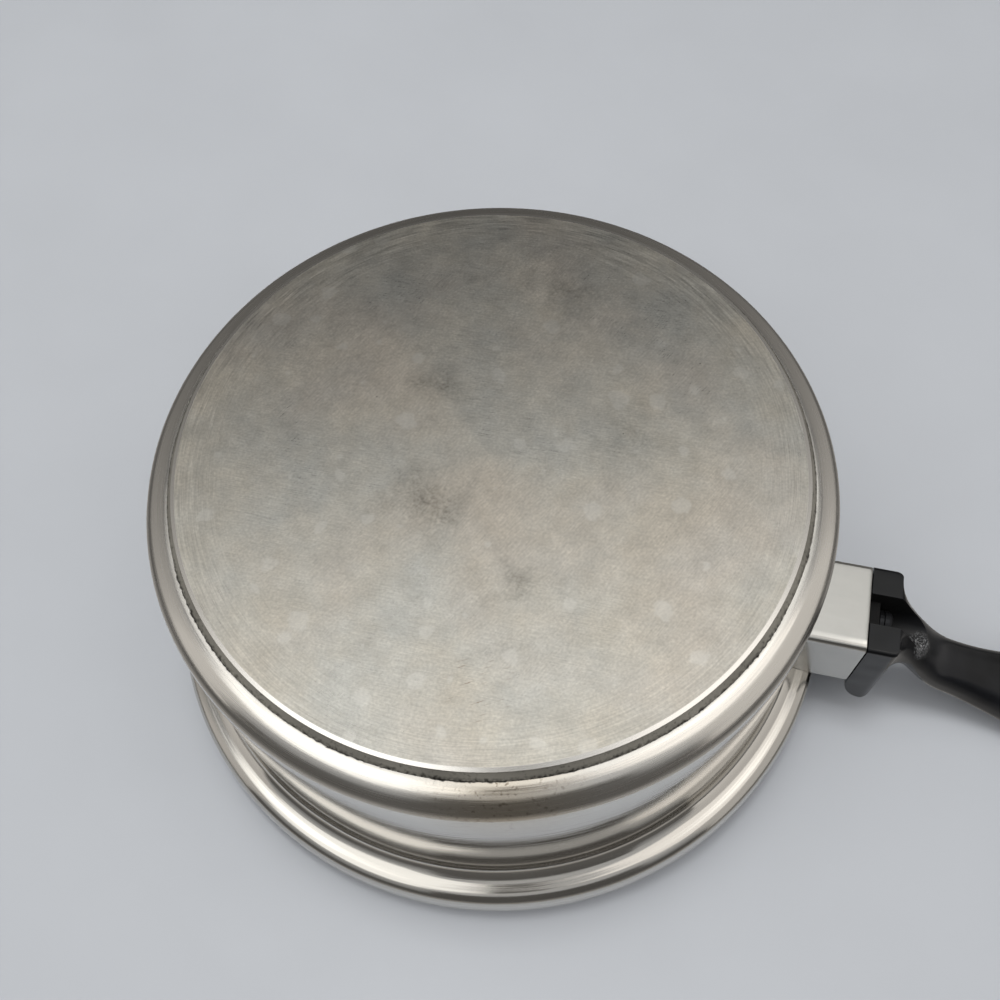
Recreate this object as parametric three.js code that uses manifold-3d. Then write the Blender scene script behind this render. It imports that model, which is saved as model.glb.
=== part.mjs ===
// Saucepan with a bonded heat-spreading base, a stepped lid ledge and a screwed-on phenolic handle.
// All pieces are drawn in millimetres in the cooking position, with the base face on z = 0 and the
// handle along +X. The finished pan is then turned over, so that it stands on its rim, base uppermost.
import * as THREE from 'three';
import { mergeVertices } from 'three/addons/utils/BufferGeometryUtils.js';
import Module from 'manifold-3d';

// Fits
const SEAM = 0.3; // gap between faces that are bonded, welded or clamped together
const SCREW_PLAY = 0.3; // radial play of the screw in the holes that it passes
const HEAD_PLAY = 0.6; // play of the screw's head in its slot

// Vessel, drawn from one sheet
const SHEET = 1;
const WALL_RADIUS = 94.2; // outside of the straight wall
const CORNER_RADIUS = 8; // outside bend between the bottom and the wall
const PAN_HEIGHT = 85.6; // base face to lip
const RIM_OVERHANG = 9.3; // lip beyond the straight wall
const COLLAR_HEIGHT = 7.1; // upright collar round the lid
const LEDGE_WIDTH = 2.4; // sloping face that the lid sits on, measured across
const LEDGE_SLOPE = 65; // that face's lean away from the upright, in degrees

// Base
const BASE_MARGIN = 9.2; // from the straight wall in to the edge of the base plate
const CAP_THICKNESS = 0.6;
const CAP_BEVEL = 0.3; // bright bevel round the edge of the plate
const CORE_THICKNESS = 1.9; // aluminium that spreads the heat
const CORE_SPREAD = 2; // the core's bare edge slopes out by this much towards the pan

// Bracket welded to the wall just below the ledge, inside the flame guard
const BRACKET_SHEET = 1.5;
const BRACKET_WIDTH = 16; // over its two arms
const BRACKET_HEIGHT = 12;
const BRACKET_DROP = 0.55; // from the start of the ledge down to the bracket
const FOOT_MARGIN = 0.8; // from the end of a welded foot to the flame guard's side

// Screw, washer and nut
const SCREW_RADIUS = 2.5;
const SCREW_TAIL = 1.5; // thread that shows past the nut
const HEAD_RADIUS = 4.2;
const HEAD_HEIGHT = 3;
const HEAD_CROWN = 1.8; // domed part of the head
const DRIVE_WIDTH = 1.2; // arms of the cross recess in the head
const DRIVE_SPAN = 4.8;
const DRIVE_DEPTH = 1.6;
const WASHER_THICKNESS = 1.2;
const WASHER_SPLIT = 1; // gap where the spring washer is cut through
const NUT_WIDTH = 8;
const NUT_THICKNESS = 4;

// Flame guard, a box sleeve between the pan and the handle
const GUARD_WIDTH = 27.6;
const GUARD_HEIGHT = 25.6;
const GUARD_INSET = 9.8; // from its underside up to the screw's axis
const GUARD_REACH = 18.3; // from the straight wall to the handle
const GUARD_SHEET = 1;
const GUARD_CORNER = 1.4; // outside bend of its long edges

// Handle, measured along X from the front face of its collar
const HANDLE_LENGTH = 172;
const COLLAR_LENGTH = 8.7; // full-width block that butts against the flame guard
const COLLAR_CORNER = 1.2; // bend of its long edges
const COLLAR_EDGE = 2.2; // length over which its rear edge is rounded
const COLLAR_FILLET = 8; // length of the hollow between its rear face and the neck
const THUMB_RISE = 14; // thumb guard's height above the flame guard
const THUMB_DROP = 4.4; // how far the thumb guard's rear edge is rounded down
const THUMB_CORNER = 3; // bend of the thumb guard's upper corners
const NECK_DISTANCE = 30;
const NECK_WIDTH = 16;
const NECK_THICKNESS = 15;
const NECK_DEPTH = 2.5; // underside of the neck below the flame guard's top
const LEVEL_DISTANCE = 62; // where the handle has levelled out
const LEVEL_RISE = 6; // underside there above the flame guard's top
const GRIP_DISTANCE = 75; // where the grip has its full size
const GRIP_WIDTH = 27;
const GRIP_THICKNESS = 19.6;
const GRIP_FLATNESS = 0.14; // flat share of the lesser half size, the rest being rounded
const END_WIDTH = 22;
const END_THICKNESS = 15;
const END_RISE = 9.2; // underside at the far end above the flame guard's top
const END_ROUND = 12; // length over which the far end is rounded off
const SLOT_LIP = 5.5; // depth of the screw slot where it crosses the web that the screw clamps
const WEB_THICKNESS = 3.8;
const EYE_WIDTH = 8; // hanging eye near the far end
const EYE_LENGTH = 14;
const EYE_MARGIN = 9; // material left between the eye and the far end

// Smoothness
const ROUND_STEPS = 80; // facets round the pan
const SMALL_STEPS = 24; // facets round the screw, washer and holes
const BEND_STEPS = 4; // facets across a bend of the sheet
const ARCH_STEPS = 10; // facets across the round of the slot and of the eye
const TURN_STEPS = 6; // sections over each rounded or hollow turn of the handle
const NECK_STEPS = 9; // sections along the neck
const GRIP_STEPS = 7; // sections along the grip
const CORNER_STEPS = 7; // facets across each corner of a section of the handle

// Places that follow from the sizes above
const { clamp, degToRad, lerp, radToDeg } = THREE.MathUtils;
const BASE_RADIUS = WALL_RADIUS - BASE_MARGIN;
const CORE_BOTTOM = CAP_THICKNESS + SEAM;
const CORE_TOP = CORE_BOTTOM + CORE_THICKNESS;
const PAN_BOTTOM = CORE_TOP + SEAM;
const RIM_RADIUS = WALL_RADIUS + RIM_OVERHANG;
const LEDGE_LEAN = degToRad(LEDGE_SLOPE);
const BEND_RADIUS = (RIM_OVERHANG - LEDGE_WIDTH) / (2 * (1 - Math.cos(LEDGE_LEAN)));
const LEDGE_RISE = 2 * BEND_RADIUS * Math.sin(LEDGE_LEAN) + LEDGE_WIDTH / Math.tan(LEDGE_LEAN);
const LEDGE_END = PAN_HEIGHT - COLLAR_HEIGHT;
const LEDGE_START = LEDGE_END - LEDGE_RISE;
const BRACKET_TOP = LEDGE_START - BRACKET_DROP;
const SCREW_HEIGHT = BRACKET_TOP - BRACKET_HEIGHT / 2;
const HOLE_RADIUS = SCREW_RADIUS + SCREW_PLAY;
const GUARD_BOTTOM = SCREW_HEIGHT - GUARD_INSET;
const GUARD_TOP = GUARD_BOTTOM + GUARD_HEIGHT;
const GUARD_END = WALL_RADIUS + GUARD_REACH;
const BRACKET_FRONT = GUARD_END - GUARD_SHEET - SEAM;
const NUT_FRONT = BRACKET_FRONT - BRACKET_SHEET - SEAM;
const SCREW_END = NUT_FRONT - NUT_THICKNESS - SCREW_TAIL;
const HANDLE_FRONT = GUARD_END + SEAM;
const WEB_BACK = HANDLE_FRONT + WEB_THICKNESS;
const WASHER_FRONT = WEB_BACK + SEAM;
const HEAD_FRONT = WASHER_FRONT + WASHER_THICKNESS + SEAM;
const HEAD_BACK = HEAD_FRONT + HEAD_HEIGHT;
const SLOT_HALF = HEAD_RADIUS + HEAD_PLAY;
const THUMB_RUN = COLLAR_LENGTH - COLLAR_EDGE;
const NECK_START = COLLAR_LENGTH + COLLAR_FILLET;
const END_START = HANDLE_LENGTH - END_ROUND;

// Finishes
const steel = (color, roughness) => new THREE.MeshStandardMaterial({ color, roughness, metalness: 1 });
const POLISHED_STEEL = steel(0xc4c0b8, 0.2);
const SATIN_STEEL = steel(0xaaa59b, 0.42);
const PLATED_STEEL = steel(0x9c9c98, 0.35);
const BLACKENED_STEEL = steel(0x2d2d2e, 0.45);
const BARE_ALUMINIUM = steel(0x6f6f6a, 0.6);
const PHENOLIC = new THREE.MeshStandardMaterial({ color: 0x17181a, roughness: 0.3, metalness: 0 });

const wasm = await Module();
wasm.setup();

// A closed geometry as a solid that can be joined and cut. Triangles that shrink to a line are left out.
function solid(geometry) {
  const bare = geometry.clone();
  bare.deleteAttribute('normal');
  bare.deleteAttribute('uv');
  const merged = mergeVertices(bare, 1e-4);
  const corners = merged.index.array;
  const kept = [];
  for (let i = 0; i < corners.length; i += 3) {
    const [a, b, c] = corners.slice(i, i + 3);
    if (a !== b && b !== c && c !== a) kept.push(a, b, c);
  }
  const vertProperties = new Float32Array(merged.attributes.position.array);
  const triVerts = new Uint32Array(kept);
  return new wasm.Manifold(new wasm.Mesh({ numProp: 3, vertProperties, triVerts }));
}

// A solid back as a geometry.
function geometryOf(body) {
  const { vertProperties, triVerts } = body.getMesh();
  const geometry = new THREE.BufferGeometry();
  geometry.setAttribute('position', new THREE.BufferAttribute(vertProperties, 3));
  geometry.setIndex(new THREE.BufferAttribute(triVerts, 1));
  geometry.computeVertexNormals();
  return geometry;
}

// One named piece of the pan.
function piece(name, geometry, material) {
  const mesh = new THREE.Mesh(geometry, material);
  mesh.name = name;
  return mesh;
}

// A point of an outline or a profile.
function at(x, y) {
  return new THREE.Vector2(x, y);
}

// Even steps from one value up to, but not reaching, another.
function spread(from, to, steps) {
  return Array.from({ length: steps }, (_, i) => lerp(from, to, i / steps));
}

// Points on an arc of radius r about (x, y), from one angle to another in degrees.
function arc(x, y, r, from, to, steps = BEND_STEPS) {
  const angles = [...spread(from, to, steps), to].map(degToRad);
  return angles.map((angle) => at(x + r * Math.cos(angle), y + r * Math.sin(angle)));
}

// Rectangle between two corners.
function rectangle(left, bottom, right, top) {
  return [at(left, bottom), at(right, bottom), at(right, top), at(left, top)];
}

// Rectangle between two corners, its own corners rounded with one bend above and another below.
function roundedRectangle(left, bottom, right, top, above, below, steps) {
  return [
    ...arc(right - above, top - above, above, 0, 90, steps),
    ...arc(left + above, top - above, above, 90, 180, steps),
    ...arc(left + below, bottom + below, below, 180, 270, steps),
    ...arc(right - below, bottom + below, below, 270, 360, steps),
  ];
}

// A profile of radius and height, turned about the upright axis.
function turned(profile, steps = ROUND_STEPS) {
  return new THREE.LatheGeometry(profile, steps).rotateX(Math.PI / 2);
}

// A profile of radius and distance, turned about the screw's axis.
function turnedOnScrew(profile) {
  return turned(profile, SMALL_STEPS).rotateY(Math.PI / 2).translate(0, 0, SCREW_HEIGHT);
}

// An outline of x and y, drawn out along Z.
function alongZ(outline, from, to) {
  const settings = { depth: to - from, bevelEnabled: false };
  return new THREE.ExtrudeGeometry(new THREE.Shape(outline), settings).translate(0, 0, from);
}

// An outline of y and z, drawn out along X.
function alongX(outline, from, to) {
  const turn = new THREE.Matrix4().set(0, 0, 1, 0, 1, 0, 0, 0, 0, 1, 0, 0, 0, 0, 0, 1);
  return alongZ(outline, from, to).applyMatrix4(turn);
}

// Room for the screw's shank.
function screwHole(from, to) {
  return solid(turnedOnScrew([at(0, from), at(HOLE_RADIUS, from), at(HOLE_RADIUS, to), at(0, to)]));
}

// Skin of the vessel, a distance out from the sheet's outside face: bottom, corner, wall, ledge, collar.
function vesselSkin(out) {
  return [
    at(0, PAN_BOTTOM - out),
    ...arc(WALL_RADIUS - CORNER_RADIUS, PAN_BOTTOM + CORNER_RADIUS, CORNER_RADIUS + out, -90, 0),
    ...arc(WALL_RADIUS + BEND_RADIUS, LEDGE_START, BEND_RADIUS - out, 180, 180 - LEDGE_SLOPE),
    ...arc(RIM_RADIUS - BEND_RADIUS, LEDGE_END, BEND_RADIUS + out, -LEDGE_SLOPE, 0),
  ];
}

// Vessel: its outside skin, round the lip, and back down its inside skin.
function panBody() {
  const lip = arc(RIM_RADIUS - SHEET / 2, PAN_HEIGHT - SHEET / 2, SHEET / 2, 0, 180);
  return turned([...vesselSkin(0), ...lip, ...vesselSkin(-SHEET).reverse()]);
}

// Room that the vessel takes up, with the seam round it.
function vesselRoom() {
  return solid(turned([...vesselSkin(SEAM), at(RIM_RADIUS + SEAM, PAN_HEIGHT), at(0, PAN_HEIGHT)]));
}

// Heat-spreading core: a disc whose bare edge slopes out towards the pan.
function baseCore() {
  const edge = [at(BASE_RADIUS, CORE_BOTTOM), at(BASE_RADIUS + CORE_SPREAD, CORE_TOP)];
  return turned([at(0, CORE_BOTTOM), ...edge, at(0, CORE_TOP)]);
}

// Base plate: a disc with a bevelled edge.
function baseCap() {
  const bevel = [at(BASE_RADIUS - CAP_BEVEL, 0), at(BASE_RADIUS, CAP_BEVEL)];
  return turned([at(0, 0), ...bevel, at(BASE_RADIUS, CAP_THICKNESS), at(0, CAP_THICKNESS)]);
}

// Wall bracket: a hat-shaped strap. Its feet follow the wall, and its front plate takes the screw.
function wallBracket() {
  const near = WALL_RADIUS + SEAM;
  const far = near + BRACKET_SHEET;
  const arm = BRACKET_WIDTH / 2;
  const inner = arm - BRACKET_SHEET;
  const toe = GUARD_WIDTH / 2 - GUARD_SHEET - FOOT_MARGIN;
  const turn = (y, radius) => radToDeg(Math.asin(y / radius));
  const strap = [
    ...arc(0, 0, near, turn(toe, near), turn(inner, near)),
    at(BRACKET_FRONT - BRACKET_SHEET, inner),
    at(BRACKET_FRONT - BRACKET_SHEET, -inner),
    ...arc(0, 0, near, -turn(inner, near), -turn(toe, near)),
    ...arc(0, 0, far, -turn(toe, far), -turn(arm, far)),
    at(BRACKET_FRONT, -arm),
    at(BRACKET_FRONT, arm),
    ...arc(0, 0, far, turn(arm, far), turn(toe, far)),
  ];
  const body = solid(alongZ(strap, BRACKET_TOP - BRACKET_HEIGHT, BRACKET_TOP));
  return geometryOf(body.subtract(screwHole(NUT_FRONT, GUARD_END)));
}

// Flame guard: a box sleeve with a closed front, cut to the wall and the ledge.
function flameGuard() {
  const box = (inset, bend) => {
    const half = GUARD_WIDTH / 2 - inset;
    return roundedRectangle(-half, GUARD_BOTTOM + inset, half, GUARD_TOP - inset, bend, bend);
  };
  const root = WALL_RADIUS - GUARD_WIDTH;
  const outside = solid(alongX(box(0, GUARD_CORNER), root, GUARD_END));
  const bend = Math.max(GUARD_CORNER - GUARD_SHEET, GUARD_SHEET / 4);
  const inside = solid(alongX(box(GUARD_SHEET, bend), root - SHEET, GUARD_END - GUARD_SHEET));
  const hole = screwHole(BRACKET_FRONT, HANDLE_FRONT);
  return geometryOf(outside.subtract(inside).subtract(vesselRoom()).subtract(hole));
}

// Square nut behind the bracket's front plate.
function bracketNut() {
  const half = NUT_WIDTH / 2;
  const outline = rectangle(-half, SCREW_HEIGHT - half, half, SCREW_HEIGHT + half);
  const block = solid(alongX(outline, NUT_FRONT - NUT_THICKNESS, NUT_FRONT));
  return geometryOf(block.subtract(screwHole(SCREW_END, BRACKET_FRONT)));
}

// Spring washer: a ring with one cut through it.
function lockWasher() {
  const section = rectangle(HOLE_RADIUS, WASHER_FRONT, HEAD_RADIUS, WASHER_FRONT + WASHER_THICKNESS);
  const ring = solid(turnedOnScrew([...section, section[0]]));
  const half = WASHER_SPLIT / 2;
  const split = rectangle(0, SCREW_HEIGHT - half, HEAD_RADIUS + SEAM, SCREW_HEIGHT + half);
  return geometryOf(ring.subtract(solid(alongX(split, WEB_BACK, HEAD_FRONT))));
}

// Pan-head screw: shank, domed head and cross recess.
function handleScrew() {
  const dome = new THREE.EllipseCurve(0, HEAD_BACK - HEAD_CROWN, HEAD_RADIUS, HEAD_CROWN, 0, Math.PI / 2);
  const shank = [at(0, SCREW_END), at(SCREW_RADIUS, SCREW_END), at(SCREW_RADIUS, HEAD_FRONT)];
  const profile = [...shank, at(HEAD_RADIUS, HEAD_FRONT), ...dome.getPoints(BEND_STEPS)];
  const recess = (wide, high) => {
    const outline = rectangle(-wide / 2, SCREW_HEIGHT - high / 2, wide / 2, SCREW_HEIGHT + high / 2);
    return solid(alongX(outline, HEAD_BACK - DRIVE_DEPTH, HEAD_BACK + SEAM));
  };
  const cross = recess(DRIVE_SPAN, DRIVE_WIDTH).add(recess(DRIVE_WIDTH, DRIVE_SPAN));
  return geometryOf(solid(turnedOnScrew(profile)).subtract(cross));
}

// Smooth curve through stations of distance and value that never swings past a station.
function course(stations) {
  const last = stations.length - 1;
  const rise = stations.slice(1).map(([x, y], i) => (y - stations[i][1]) / (x - stations[i][0]));
  const slope = stations.map((_, i) => {
    const before = rise[Math.max(i - 1, 0)];
    const after = rise[Math.min(i, last - 1)];
    return before * after > 0 ? (2 * before * after) / (before + after) : 0;
  });
  return (x) => {
    const i = Math.max(stations.findIndex(([end]) => x <= end), 1) - 1;
    const run = stations[i + 1][0] - stations[i][0];
    const t = (x - stations[i][0]) / run;
    const blend = t * t * (3 - 2 * t);
    const lean = t * (1 - t) * ((1 - t) * slope[i] - t * slope[i + 1]);
    return lerp(stations[i][1], stations[i + 1][1], blend) + lean * run;
  };
}

// Half width of the handle behind its collar.
const neckHalf = course([
  [COLLAR_LENGTH, NECK_WIDTH / 2],
  [NECK_DISTANCE, NECK_WIDTH / 2],
  [GRIP_DISTANCE, GRIP_WIDTH / 2],
  [HANDLE_LENGTH, END_WIDTH / 2],
]);

// Height of the handle's underside, from the scoop behind the collar to the far end.
const underside = course([
  [COLLAR_LENGTH, GUARD_BOTTOM],
  [NECK_DISTANCE, GUARD_TOP - NECK_DEPTH],
  [LEVEL_DISTANCE, GUARD_TOP + LEVEL_RISE],
  [HANDLE_LENGTH, GUARD_TOP + END_RISE],
]);

// Thickness of the handle behind its collar.
const thickness = course([
  [COLLAR_LENGTH, NECK_THICKNESS],
  [NECK_DISTANCE, NECK_THICKNESS],
  [GRIP_DISTANCE, GRIP_THICKNESS],
  [HANDLE_LENGTH, END_THICKNESS],
]);

// Distances along the handle at which its sections are set, closer where its shape turns.
function sectionDistances() {
  const turn = spread(0, Math.PI / 2, TURN_STEPS);
  return [
    ...turn.map((angle) => THUMB_RUN * (1 - Math.cos(angle))),
    ...turn.map((angle) => THUMB_RUN + COLLAR_EDGE * Math.sin(angle)),
    ...turn.map((angle) => COLLAR_LENGTH + COLLAR_FILLET * (1 - Math.cos(angle))),
    ...spread(NECK_START, GRIP_DISTANCE, NECK_STEPS),
    ...spread(GRIP_DISTANCE, END_START, GRIP_STEPS),
    ...turn.map((angle) => END_START + END_ROUND * Math.sin(angle)),
  ];
}

// Share by which a quarter ellipse has fallen, over the share of its length that has been passed.
function fall(share) {
  const t = clamp(share, 0, 1);
  return 1 - Math.sqrt(1 - t * t);
}

// Section of the handle at a distance along it. The collar is boxy and carries the thumb guard, a hollow
// turn leads from its rear face into the neck, and the far end closes in a rounded nose.
function handleSection(distance) {
  const along = Math.max(distance, COLLAR_LENGTH);
  const collar = fall((NECK_START - distance) / COLLAR_FILLET);
  const edge = fall((distance - THUMB_RUN) / COLLAR_EDGE);
  const front = fall(1 - distance / THUMB_RUN);
  const close = 1 - fall((distance - END_START) / END_ROUND);
  const low = underside(along);
  const thumb = GUARD_TOP + THUMB_RISE * (1 - front) - THUMB_DROP * edge;
  const high = lerp(low + thickness(along), thumb, collar);
  const across = close * lerp(neckHalf(along), GUARD_WIDTH / 2 - COLLAR_CORNER * edge, collar);
  const up = (Math.sqrt(close) * (high - low)) / 2;
  const middle = (low + high) / 2;
  const soft = (1 - GRIP_FLATNESS) * Math.min(across, up);
  const above = lerp(soft, lerp(THUMB_CORNER, COLLAR_CORNER, front), collar);
  const below = lerp(soft, COLLAR_CORNER, collar);
  return roundedRectangle(-across, middle - up, across, middle + up, above, below, CORNER_STEPS);
}

// Handle before it is cut: its sections strung along X and closed at both ends.
function handleForm() {
  const distances = sectionDistances();
  const points = distances.flatMap((distance) =>
    handleSection(distance).flatMap(({ x, y }) => [HANDLE_FRONT + distance, x, y]),
  );
  const round = 4 * (CORNER_STEPS + 1);
  const tail = (distances.length - 1) * round;
  const faces = [];
  for (let a = 0; a < tail; a += 1) {
    const b = a % round === round - 1 ? a + 1 - round : a + 1;
    faces.push(a, b, b + round, a, b + round, a + round);
  }
  for (let k = 1; k < round - 1; k += 1) {
    faces.push(0, k + 1, k, tail, tail + k, tail + k + 1);
  }
  const geometry = new THREE.BufferGeometry();
  geometry.setAttribute('position', new THREE.Float32BufferAttribute(points, 3));
  geometry.setIndex(faces);
  return solid(geometry);
}

// Handle: its form, cut by the screw slot, the slot's shallow mouth, the screw's hole and the hanging eye.
function handle() {
  const below = GUARD_BOTTOM - SLOT_LIP;
  const slot = [
    ...arc(0, SCREW_HEIGHT, SLOT_HALF, 0, 180, ARCH_STEPS),
    at(-SLOT_HALF, below),
    at(SLOT_HALF, below),
  ];
  const mouth = rectangle(-SLOT_HALF, below, SLOT_HALF, GUARD_BOTTOM + SLOT_LIP);
  const eyeHalf = EYE_WIDTH / 2;
  const eyeFar = HANDLE_FRONT + HANDLE_LENGTH - EYE_MARGIN - eyeHalf;
  const eye = [
    ...arc(eyeFar, 0, eyeHalf, -90, 90, ARCH_STEPS),
    ...arc(eyeFar - EYE_LENGTH + EYE_WIDTH, 0, eyeHalf, 90, 270, ARCH_STEPS),
  ];
  const cuts = [
    solid(alongX(slot, WEB_BACK, HANDLE_FRONT + NECK_DISTANCE)),
    solid(alongX(mouth, GUARD_END, WEB_BACK + SEAM)),
    screwHole(GUARD_END, WASHER_FRONT),
    solid(alongZ(eye, GUARD_TOP, GUARD_TOP + END_RISE + 2 * GRIP_THICKNESS)),
  ];
  return geometryOf(cuts.reduce((body, cut) => body.subtract(cut), handleForm()));
}

const pan = new THREE.Group();
pan.add(
  piece('pan_body', panBody(), POLISHED_STEEL),
  piece('base_core', baseCore(), BARE_ALUMINIUM),
  piece('base_cap', baseCap(), SATIN_STEEL),
  piece('wall_bracket', wallBracket(), PLATED_STEEL),
  piece('flame_guard', flameGuard(), SATIN_STEEL),
  piece('handle', handle(), PHENOLIC),
  piece('handle_screw', handleScrew(), BLACKENED_STEEL),
  piece('lock_washer', lockWasher(), BLACKENED_STEEL),
  piece('bracket_nut', bracketNut(), PLATED_STEEL),
);

// Turned over about the handle's axis.
pan.rotation.x = Math.PI;
export default pan;
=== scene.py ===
import math
from functools import partial

import bmesh
import bpy
import numpy as np
from mathutils import Euler, Matrix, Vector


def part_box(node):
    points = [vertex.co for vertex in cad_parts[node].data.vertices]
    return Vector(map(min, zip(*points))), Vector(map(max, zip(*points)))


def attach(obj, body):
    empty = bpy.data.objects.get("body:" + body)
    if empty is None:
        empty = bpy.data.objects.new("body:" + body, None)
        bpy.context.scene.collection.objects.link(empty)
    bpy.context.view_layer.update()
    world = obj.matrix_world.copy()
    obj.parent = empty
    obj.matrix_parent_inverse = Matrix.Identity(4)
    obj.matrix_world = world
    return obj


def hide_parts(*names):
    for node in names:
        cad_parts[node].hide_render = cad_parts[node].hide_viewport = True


bl_info = {
    "name": "Turned-over Saucepan",
    "version": (1, 0, 0),
    "blender": (4, 5, 0),
    "location": "3D View > Sidebar > Saucepan",
    "description": "A worn stainless saucepan with a black phenolic handle, turned over on its rim",
    "category": "Object",
}

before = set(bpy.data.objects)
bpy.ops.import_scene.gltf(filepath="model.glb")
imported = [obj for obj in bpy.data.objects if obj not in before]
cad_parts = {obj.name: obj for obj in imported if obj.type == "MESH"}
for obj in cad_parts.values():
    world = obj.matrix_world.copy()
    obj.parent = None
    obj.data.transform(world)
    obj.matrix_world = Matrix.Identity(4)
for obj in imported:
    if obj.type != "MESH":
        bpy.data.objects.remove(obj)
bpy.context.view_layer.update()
PAN_BOX, CAP_BOX, CORE_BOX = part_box("pan_body"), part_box("base_cap"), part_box("base_core")
GUARD_BOX, HANDLE_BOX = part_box("flame_guard"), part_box("handle")
MM = 0.001
SAME_POINT, WELD = 1e-9, 1e-7  # metres within which two points of a path, or of a mesh, are one
ROUND_STEPS = 256  # points round the pan
CARD_STEPS = 90  # points along a card
FLOOR_REACH = 3  # metres from the pan to the floor's edges
END_DISTANCE = 172  # millimetres from the handle's front to its last full section
EYE_MARGIN = 9  # millimetres from that section back to the hanging eye
LAMP_DISTANCE = 1.6  # metres from the pan to each soft box
BEHIND = 110  # azimuth in degrees of the darkest place behind the pan
CAMERA_PLACE = 0.0448, -0.1433, 0.2519  # metres
CAMERA_TILT, CAMERA_HEADING, CAMERA_ROLL = 28.352, 16.553, -4.279  # degrees


# Colours and sizes


def linear(code):
    """Linear colour of an sRGB hex code: a channel over 12.92 when dark, else (channel + 0.055) /
    1.055 to the 2.4."""
    channel = np.array([int(code[i : i + 2], 16) for i in (0, 2, 4)]) / 255
    light = ((channel + 0.055) / 1.055) ** 2.4
    return (*np.where(channel <= 0.04045, channel / 12.92, light).tolist(), 1.0)


def length(name, description, millimetres):
    """A length that the user can change, given in millimetres and kept in metres."""
    return bpy.props.FloatProperty(
        name=name,
        description=description,
        default=millimetres * MM,
        min=0,
        precision=4,
        unit="LENGTH",
    )


def colour(name, description, code):
    """A colour that the user can change, given as an sRGB hex code."""
    return bpy.props.FloatVectorProperty(
        name=name,
        description=description,
        default=linear(code),
        size=4,
        min=0,
        max=1,
        subtype="COLOR",
    )


def level(name, description, value):
    """A brightness that the user can change."""
    return bpy.props.FloatProperty(name=name, description=description, default=value, min=0)


class SaucepanVessel(bpy.types.PropertyGroup):
    """Sizes and colours of the vessel and its base."""

    sheet: length("Sheet", "Thickness of the drawn sheet", 1)
    wall_radius: length("Wall Radius", "Outside of the straight wall", 94.2)
    corner_radius: length("Corner Radius", "Outside bend between the bottom and the wall", 8)
    height: length("Height", "Base face to lip", -PAN_BOX[0].z / MM)
    rim_radius: length("Rim Radius", "Outside of the upright collar", PAN_BOX[1].x / MM)
    bottom: length("Bottom", "Base face to the underside of the vessel", -PAN_BOX[1].z / MM)
    collar: length("Collar", "Height of the upright collar round the lid", 7.1)
    ledge: length("Ledge", "Width of the sloping face between the rim's two bends", 1.2)
    ledge_slope: bpy.props.FloatProperty(
        name="Ledge Slope",
        description="Lean of the lid's ledge away from the upright",
        default=math.radians(80),
        subtype="ANGLE",
    )
    hollow: bpy.props.FloatProperty(
        name="Hollow",
        description="Share of the rim's width taken by its hollow bend",
        default=0.55,
        subtype="FACTOR",
    )
    base_radius: length("Base Radius", "Edge of the base plate", CAP_BOX[1].x / MM)
    cap: length("Base Plate", "Thickness of the base plate", -CAP_BOX[0].z / MM)
    cap_edge: length("Plate Edge", "Width of the base plate's sloping edge", 1.1)
    core_radius: length("Core Radius", "Foot of the core's sloping edge", 86.5)
    core_near: length("Core Underside", "Base face to the core", -CORE_BOX[1].z / MM)
    core_far: length("Core Top", "Base face to the core's far face", -CORE_BOX[0].z / MM)
    polished: colour("Polished Steel", "Polished stainless sheet of the vessel", "D8D5CF")
    satin: colour("Satin Steel", "Worn stainless plate under the base", "CBC5B9")
    aluminium: colour("Aluminium", "Bare aluminium edge of the core", "99968E")
    # Colour of the burnt-on dirt, and also of the painted shade in the rim's hollow.
    grime_and_shade: colour("Grime", "Burnt-on dirt in the crevice round the base", "16130F")


class SaucepanHandle(bpy.types.PropertyGroup):
    """Sizes and colours of the handle, its flame guard and its fasteners."""

    guard_width: length("Guard Width", "Flame guard across the handle", GUARD_BOX[1].y * 2 / MM)
    guard_low: length("Guard Underside", "Base face to the guard's near face", -GUARD_BOX[1].z / MM)
    guard_high: length("Guard Top", "Base face to the guard's far face", -GUARD_BOX[0].z / MM)
    guard_end: length("Guard End", "Pan's axis to the guard's closed end", GUARD_BOX[1].x / MM)
    guard_sheet: length("Guard Sheet", "Thickness of the guard's sheet", 1)
    guard_corner: length("Guard Corner", "Outside bend of the guard's long edges", 1.4)
    seam: length("Seam", "Gap between pieces that are held together", 0.3)
    front: length("Handle Front", "Pan's axis to the handle's collar", HANDLE_BOX[0].x / MM)
    end: length("Handle End", "Pan's axis to the handle's far end", HANDLE_BOX[1].x / MM)
    screw_height: length("Screw Height", "Base face to the screw's axis", 60)
    screw_hole: length("Screw Hole", "Radius of the screw's hole", 2.8)
    collar: length("Collar", "Length of the full-width block at the guard", 8.7)
    thumb_rise: length("Thumb Guard", "Height of the thumb guard above the flame guard", 14)
    neck_width: length("Neck Width", "Handle across its neck", 16)
    neck_thickness: length("Neck Thickness", "Handle through its neck", 15)
    grip_width: length("Grip Width", "Handle across its grip", 27)
    grip_thickness: length("Grip Thickness", "Handle through its grip", 19.5)
    end_width: length("End Width", "Handle across its far end", 22)
    slot_half: length("Slot Half Width", "Half of the screw slot's width", 4.8)
    eye_width: length("Eye Width", "Width of the hanging eye", 8)
    eye_length: length("Eye Length", "Length of the hanging eye", 14)
    phenolic: colour("Phenolic", "Black moulded phenolic of the handle", "08090B")
    guard: colour("Guard Steel", "Satin stainless sheet of the flame guard", "BEBDB9")
    plated: colour("Plated Steel", "Zinc-plated bracket and nut", "B4B6B8")
    # The screw and spring washer are coloured near black: painted shade for the dark slot they sit
    # in.
    dark_for_shade: colour("Blackened Steel", "Blackened screw and spring washer", "26272A")


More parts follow.
